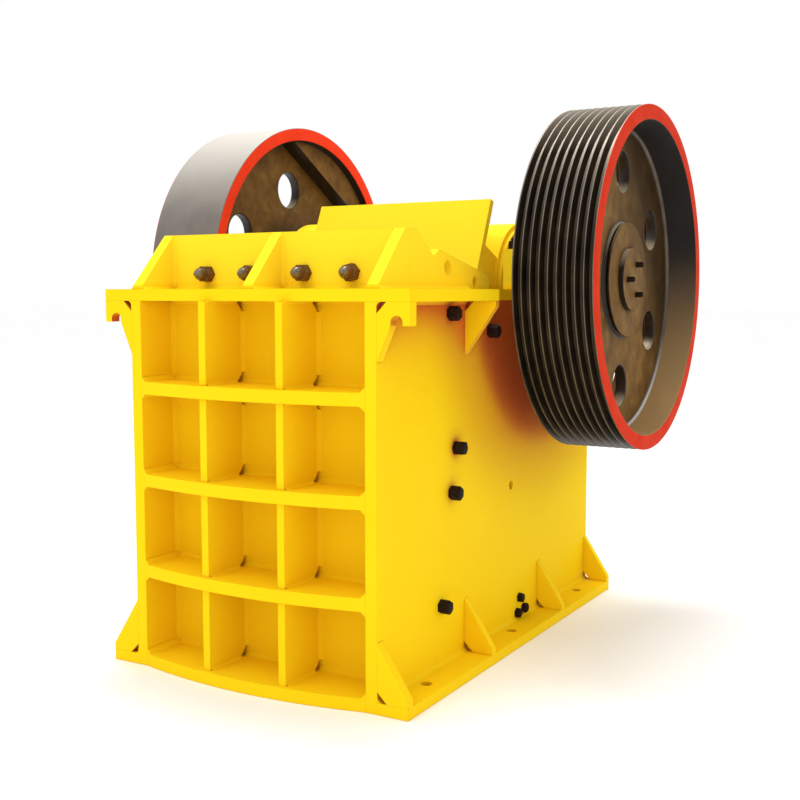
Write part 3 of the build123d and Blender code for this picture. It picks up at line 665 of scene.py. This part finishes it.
def beltSheave():
    low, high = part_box("sheave")
    width = (high.x - low.x) / mm
    radius = (high.z - low.z) / 2 / mm
    half = groove["width"] / 2
    bottom = half - groove["depth"] * math.tan(math.radians(groove["angle"] / 2))
    deep = radius - groove["depth"]
    rim = [(0, radius, wheel["edge"], landFinish)]
    for number in range(groove["count"]):
        middle = groove["fromEdge"] + number * groove["pitch"]
        rim.append((middle - half, radius, groove["lip"], grooveFinish))
        rim.append((middle - bottom, deep, groove["root"], grooveFinish))
        rim.append((middle + bottom, deep, groove["root"], grooveFinish))
        rim.append((middle + half, radius, groove["lip"], landFinish))
    rim.append((width, radius, wheel["edge"], redFinish))
    matrix = wheelMatrix(low.x, 1)
    pile = wheelPile(width, radius, rim, wheel["sheaveRim"], wheel["sheaveWeb"], matrix, castFinish)
    materials = [sheaveIron, red, boreIron, ringIron, landIron, hubIron, grooveIron]
    piece = finishPiece("belt_sheave", pile, materials, "rotor")
    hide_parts("sheave")


def counterweight(pile, matrix, radius):
    # cast segment in the rim's dish, flat along its chord
    reach = radius - wheel["flywheelRim"] + weight["sink"]
    half = math.acos(weight["chord"] / reach)
    shape = bmesh.new()
    rings = []
    for along in (weight["recess"], wheel["flywheelWeb"] + weight["sink"]):
        ring = []
        for step in range(weight["steps"] + 1):
            turn = math.radians(weight["angle"]) - half + 2 * half * step / weight["steps"]
            ring.append(shape.verts.new((reach * math.cos(turn), reach * math.sin(turn), along)))
        rings.append(ring)
    count = len(rings[0])
    for step in range(count):
        after = (step + 1) % count
        shape.faces.new((rings[0][step], rings[0][after], rings[1][after], rings[1][step]))
    shape.faces.new(rings[0])
    shape.faces.new(list(reversed(rings[1])))
    sharp = [edge for edge in shape.edges if edge.calc_face_angle(0) > math.radians(weight["sharp"])]
    bmesh.ops.bevel(shape, geom=sharp, offset=weight["round"], segments=weight["roundSteps"], profile=0.5,
                    affect="EDGES")
    shape.verts.index_update()
    shape.normal_update()
    start = len(pile["points"])
    pile["points"].extend(matrix @ vert.co for vert in shape.verts)
    for face in shape.faces:
        pile["faces"].append(tuple(start + vert.index for vert in face.verts))
        # sides take the hub's finish: black as painted shade, with a painted highlight on top
        pile["finish"].append(castFinish if abs(face.normal.z) > endFace else hubFinish)
    shape.free()


def flyWheel():
    low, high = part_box("flywheel")
    width = (high.x - low.x) / mm
    radius = (high.z - low.z) / 2 / mm
    rim = [(0, radius, wheel["edge"], landFinish), (width, radius, wheel["edge"], redFinish)]
    matrix = wheelMatrix(high.x, -1)
    pile = wheelPile(width, radius, rim, wheel["flywheelRim"], wheel["flywheelWeb"], matrix, boreFinish)
    counterweight(pile, matrix, radius)
    materials = [iron, brightenedRed, boreIron, ringIron, rimIron, hubIron]
    piece = finishPiece("fly_wheel", pile, materials, "rotor")
    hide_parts("flywheel")


beltSheave()
flyWheel()
print("wheels ready")


# bolts

hexEnd = {
    "sink": 1,                # set into the plate
    "rounding": 0.3,          # middle of the rounded corner, as a share of it
    "threadRoot": 0.93,       # shares of the thread's radius
    "cone": ((0.9, 0.9), (0.1, 0.35), (0.0, 0.2)),  # back from the tip, radius
    "sides": 24,
    "corners": 6,
}


def threadRings(start, end, radius, pitch):
    # root and crest of each turn
    rings = []
    turns = max(1, int((end - start) / pitch))
    step = (end - start) / turns
    for number in range(turns):
        low = start + number * step
        rings.append((low, radius * hexEnd["threadRoot"], 0))
        rings.append((low + step / 2, radius, 0))
    return rings


def boltEnd(pile, point, along, row):
    # hexagon nut with rounded corners and, where the bolt reaches beyond it, the thread with its coned tip
    matrix = placed(point, along) @ Matrix.Scale(mm, 4)
    corner = row["flats"] / math.sqrt(3)
    thick = row["thick"]
    bend = row["round"]
    turn = random.uniform(0, math.pi / 3)
    sink = hexEnd["sink"]
    part = bend * hexEnd["rounding"]
    nut = [(-sink, corner, 0), (thick - bend, corner, 0)]
    nut.extend([(thick - part, corner - part, 0), (thick, corner - bend, 0)])
    turned(pile, matrix, nut, hexEnd["corners"], False, turn)
    if "reach" in row:
        radius = row["thread"] / 2
        end = thick + row["reach"]
        rings = threadRings(thick - sink, end - radius, radius, row["pitch"])
        rings.extend((end - radius * back, radius * share, 1) for back, share in hexEnd["cone"])
        turned(pile, matrix, rings, hexEnd["sides"])


boltSet = {
    "cheek": {"flats": 50, "thick": 46, "round": 8,
              "spots": ((550, 1422), (910, 1344), (604, 891), (570, 716), (484, 279))},
    "small": {"flats": 38, "thick": 24, "round": 5, "spots": ((1238, 137), (1285, 79), (1212, 73))},
    "lip": {"flats": 60, "thick": 36, "round": 5, "thread": 48, "reach": 48, "pitch": 6},
    "cap": {"flats": 65, "thick": 36, "round": 5, "thread": 42, "reach": 30, "pitch": 5},
    "cover": {"flats": 24, "thick": 6, "round": 1, "circle": 210, "count": 12},  # low heads, clear of the hub
    "head": {"flats": 36, "thick": 15, "round": 3, "circle": 226, "count": 10},
    "disc": {"radius": 12, "length": 33, "circle": 76, "turns": (180, 60, -60),
             "crown": ((0.8, 1.0), (0.94, 0.86), (1.0, 0.5))},  # shares of the length and of the radius
}
lipBolt = {"across": (-340, -125, 125, 340), "height": 1576}
capEar = {"top": 130, "fromEnd": 42, "inset": 46}  # top above the shaft, the others in from the cap's box


def wallBolts(side):
    # ends of the cheek plates' bolts, spots are (from the wall's front edge, height)
    pile = newPile()
    low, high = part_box("right_side_wall")
    for kind in ("cheek", "small"):
        row = boltSet[kind]
        for fromFront, height in row["spots"]:
            point = Vector((side * high.x, low.y + fromFront * mm, height * mm))
            boltEnd(pile, point, (side, 0, 0), row)
    name = "right_wall_bolts" if side > 0 else "left_wall_bolts"
    finishPiece(name, pile, [boltSteel], "frame")


def lipBolts():
    pile = newPile()
    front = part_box("feed_lip")[0].y
    for across in lipBolt["across"]:
        boltEnd(pile, Vector((across * mm, front, lipBolt["height"] * mm)), (0, -1, 0), boltSet["lip"])
    finishPiece("lip_bolts", pile, [rustSteel, wornSteel], "frame")


def boltCircle(pile, centre, face, side, row):
    for number in range(row["count"]):
        turn = 2 * math.pi * (number + 0.5) / row["count"]
        spoke = Vector((0, math.cos(turn), math.sin(turn))) * row["circle"] * mm
        boltEnd(pile, Vector((face, centre.y, centre.z)) + spoke, (side, 0, 0), row)


def discBolts():
    # round heads that hold the discs on the shaft's ends
    pile = newPile()
    row = boltSet["disc"]
    low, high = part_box("end_discs")
    rings = [(-hexEnd["sink"], row["radius"], 0)]
    rings.extend((row["length"] * along, row["radius"] * share, 0) for along, share in row["crown"])
    for side, face in ((1, high.x), (-1, low.x)):
        for degrees in row["turns"]:
            turn = math.radians(degrees)
            spoke = Vector((0, math.cos(turn), math.sin(turn))) * row["circle"] * mm
            point = Vector((face, shaftAxis.y, shaftAxis.z)) + spoke
            turned(pile, placed(point, (side, 0, 0)) @ Matrix.Scale(mm, 4), rings, hexEnd["sides"])
    finishPiece("end_disc_bolts", pile, [boltSteel], "rotor")


def bearingBolts(side):
    # four nuts on the cap's ears and a circle of heads on the cover
    pile = newPile()
    name = "right_bearing_cap" if side > 0 else "left_bearing_cap"
    low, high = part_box(name)
    top = shaftAxis.z + capEar["top"] * mm
    for y in (low.y + capEar["fromEnd"] * mm, high.y - capEar["fromEnd"] * mm):
        for x in (low.x + capEar["inset"] * mm, high.x - capEar["inset"] * mm):
            boltEnd(pile, Vector((x, y, top)), (0, 0, 1), boltSet["cap"])
    boltCircle(pile, shaftAxis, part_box("bearing_covers")[1].x * side, side, boltSet["cover"])
    finishPiece(name + "_bolts", pile, [boltSteel, boltSteel], "frame")


def headBolts():
    pile = newPile()
    for side in (1, -1):
        boltCircle(pile, throwAxis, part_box("head_covers")[1].x * side, side, boltSet["head"])
    finishPiece("head_cover_bolts", pile, [boltSteel], "moving_jaw")


for side in (1, -1):
    wallBolts(side)
    bearingBolts(side)
lipBolts()
discBolts()
headBolts()
print("bolts ready")


# tension spring

spring = {
    "coil": 51,               # radius to the wire's middle
    "wire": 13,               # its radius
    "turns": 6.5,
    "sides": 14,
    "stepsPerTurn": 40,
    "sharp": 60,
}


def tensionSpring():
    low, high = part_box("tension_spring")
    middle = (low + high) / 2
    wire = spring["wire"] * mm
    travel = (high.y - low.y) - 2 * wire
    count = int(spring["turns"] * spring["stepsPerTurn"])
    sides = spring["sides"]
    pile = newPile()
    for number in range(count + 1):
        share = number / count
        turn = 2 * math.pi * spring["turns"] * share
        outward = Vector((math.cos(turn), 0, math.sin(turn)))
        centre = Vector((middle.x, low.y + wire + travel * share, middle.z)) + outward * spring["coil"] * mm
        for side in range(sides):
            roll = 2 * math.pi * side / sides
            pile["points"].append(centre + (outward * math.cos(roll) + sideY * math.sin(roll)) * wire)
    for number in range(count):
        for side in range(sides):
            after = (side + 1) % sides
            here = number * sides
            pile["faces"].append((here + side, here + after, here + sides + after, here + sides + side))
    pile["faces"].append(tuple(range(sides)))
    pile["faces"].append(tuple(range(count * sides, count * sides + sides)))
    pile["finish"] = [0] * len(pile["faces"])
    piece = finishPiece("coil_spring", pile, [springSteel], "frame", spring["sharp"])
    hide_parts("tension_spring")


tensionSpring()
print("spring ready")


# welds

weld = {
    "step": 7,                # length of a ripple
    "swell": 0.05,            # every second ripple is thicker by this share
    "waver": 0.04,            # of an uneven hand
    "crown": 0.38,            # middle of the bead's face as a share of its leg, where 0.5 is flat
    "plate": 14,              # leg on heavy plates
    "thin": 10,
    "sharp": 70,
}


def weldSeam(pile, start, end, sideA, sideB, legMm):
    # fillet bead in the corner of two plates; sideA and sideB run out of the corner along each plate
    run = end - start
    count = max(2, int(run.length / (weld["step"] * mm)))
    first = len(pile["points"])
    for number in range(count + 1):
        point = start + run * (number / count)
        leg = legMm * mm * (1 + weld["swell"] * (number % 2) + random.uniform(-weld["waver"], weld["waver"]))
        pile["points"].append(point - (sideA + sideB) * mm)
        pile["points"].append(point + sideA * leg)
        pile["points"].append(point + (sideA + sideB) * leg * weld["crown"])
        pile["points"].append(point + sideB * leg)
    for number in range(count):
        here = first + number * 4
        for corner in range(4):
            after = (corner + 1) % 4
            pile["faces"].append((here + corner, here + after, here + 4 + after, here + 4 + corner))
    last = first + count * 4
    pile["faces"].append((first + 3, first + 2, first + 1, first))
    pile["faces"].append((last, last + 1, last + 2, last + 3))


def finishWelds(name, pile):
    pile["finish"] = [0] * len(pile["faces"])
    finishPiece(name, pile, [beadYellow], "frame", weld["sharp"])


grid = {"rows": 4, "columns": 3, "rib": 50, "upright": 32, "snipe": 40, "ahead": 30}  # ahead of the walls
lipRib = 48  # thickness of the lip's middle rib


def columnEdges(half):
    # left and right edges of each column of cells
    cell = (2 * half - (grid["columns"] - 1) * grid["upright"] * mm) / grid["columns"]
    starts = [-half + column * (cell + grid["upright"] * mm) for column in range(grid["columns"])]
    return [(start, start + cell) for start in starts]


def frontWelds():
    # beads round each cell, stopped at the sniped corners, and at the uprights' ends
    pile = newPile()
    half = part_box("front_wall")[1].x
    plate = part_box("front_wall")[0].y
    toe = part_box("right_side_wall")[0].y - grid["ahead"] * mm
    snipe = grid["snipe"] * mm
    for row in range(grid["rows"]):
        floor = row * deckUnder / grid["rows"] + grid["rib"] * mm
        roof = (row + 1) * deckUnder / grid["rows"]
        for left, right in columnEdges(half):
            for z, lift in ((floor, sideZ), (roof, -sideZ)):
                start, end = Vector((left, plate, z)), Vector((right, plate, z))
                weldSeam(pile, start, end, -sideY, lift, weld["plate"])
            for x, way in ((left, sideX), (right, -sideX)):
                trim = 0 if abs(abs(x) - half) < mm else snipe
                start, end = Vector((x, plate, floor + trim)), Vector((x, plate, roof - trim))
                weldSeam(pile, start, end, -sideY, way, weld["plate"])
                if trim:
                    for z, lift in ((floor, sideZ), (roof, -sideZ)):
                        foot = Vector((x, plate - trim, z))
                        weldSeam(pile, Vector((x, toe, z)), foot, way, lift, weld["thin"])
    finishWelds("front_grid_welds", pile)


def footWelds(side):
    # bead between the wall and its foot
    pile = newPile()
    low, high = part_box("right_side_wall")
    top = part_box("right_foot")[1].z
    start, end = Vector((side * wallOut, low.y, top)), Vector((side * wallOut, high.y, top))
    weldSeam(pile, start, end, sideX * side, sideZ, weld["plate"])
    finishWelds("right_foot_welds" if side > 0 else "left_foot_welds", pile)


def deckWelds():
    # beads below and above the deck along the walls, and round the feed lip
    pile = newPile()
    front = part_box("front_deck")[0].y
    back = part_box("right_deck_flange")[1].y
    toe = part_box("lip_ribs")[0].y
    lipLow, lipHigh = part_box("feed_lip")
    lip = lipLow.y
    for side in (1, -1):
        wall = side * wallOut
        for y, z, lift in ((front, deckUnder, -sideZ), (toe, deckTop, sideZ)):
            weldSeam(pile, Vector((wall, y, z)), Vector((wall, back, z)), sideX * side, lift, weld["plate"])
    rib = lipRib / 2 * mm
    for left, right in ((lipLow.x, -rib), (rib, lipHigh.x)):
        start = Vector((left, lip, deckTop))
        weldSeam(pile, start, Vector((right, lip, deckTop)), -sideY, sideZ, weld["plate"])
        for x, way in ((left, sideX), (right, -sideX)):
            foot = Vector((x, lip, deckTop))
            weldSeam(pile, Vector((x, toe, deckTop)), foot, way, sideZ, weld["thin"])
            weldSeam(pile, foot, Vector((x, lip, lipHigh.z)), way, -sideY, weld["thin"])
    finishWelds("deck_welds", pile)


frontWelds()
for side in (1, -1):
    footWelds(side)
deckWelds()
print("welds ready")


# floor, light and camera

studio = {
    "floor": "#FEFEFE",
    "floorRoughness": 0.7,
    "floorHalf": 150.0,
    "floorDropMm": 0.5,       # so that the feet don't flicker on it
    "sky": "#FFFFFF",
    "skyStrength": 1.0,
    "target": (0, 0, 1.2),
    "lamps": (                # name, place, size, watts
        ("key", (-1.8, -4.2, 6.8), 3.5, 95),
        ("side", (3.6, -5.2, 3.2), 3.0, 28),
        ("top", (-0.4, 1.4, 8.2), 3.0, 370),
    ),
}


def layFloor():
    mesh = bpy.data.meshes.new("studio_floor")
    half = studio["floorHalf"]
    level = -studio["floorDropMm"] * mm
    corners = [(-half, -half, level), (half, -half, level), (half, half, level), (-half, half, level)]
    mesh.from_pydata(corners, [], [(0, 1, 2, 3)])
    # white paint, matt and even
    settings = {"Base Color": toLinear(studio["floor"]), "Roughness": studio["floorRoughness"]}
    mesh.materials.append(newMaterial("painted_floor", settings)[0])
    floor = bpy.data.objects.new("studio_floor", mesh)
    bpy.context.scene.collection.objects.link(floor)


def hangLamps():
    for name, place, size, watts in studio["lamps"]:
        light = bpy.data.lights.new(name, "AREA")
        light.size = size
        light.energy = watts
        lamp = bpy.data.objects.new(name, light)
        aim = (Vector(studio["target"]) - Vector(place)).to_track_quat("-Z", "Y")
        lamp.matrix_world = Matrix.Translation(place) @ aim.to_matrix().to_4x4()
        bpy.context.scene.collection.objects.link(lamp)


def lightSky():
    world = bpy.data.worlds.new("studio")
    world.use_nodes = True
    sky = world.node_tree.nodes["Background"]
    sky.inputs["Color"].default_value = toLinear(studio["sky"])
    sky.inputs["Strength"].default_value = studio["skyStrength"]
    bpy.context.scene.world = world


photoView = {                 # metres and millimetres, fitted to the photo's edges
    "place": (2.58, -4.383, 1.495),
    "forward": (-0.496, 0.8632, -0.0932),
    "right": (0.867, 0.4982, 0.0),
    "lens": 50.74,
    "sensor": 36.0,
}


def setCamera():
    forward = Vector(photoView["forward"]).normalized()
    right = Vector(photoView["right"]).normalized()
    up = right.cross(forward)
    turn = Matrix((right, up, -forward)).transposed().to_4x4()
    camera = bpy.data.cameras.new("photo_camera")
    camera.lens = photoView["lens"]
    camera.sensor_width = photoView["sensor"]
    eye = bpy.data.objects.new("photo_camera", camera)
    eye.matrix_world = Matrix.Translation(photoView["place"]) @ turn
    bpy.context.scene.collection.objects.link(eye)
    bpy.context.scene.camera = eye


layFloor()
hangLamps()
lightSky()
setCamera()
bpy.context.scene.view_settings.view_transform = "Standard"
print("studio ready")
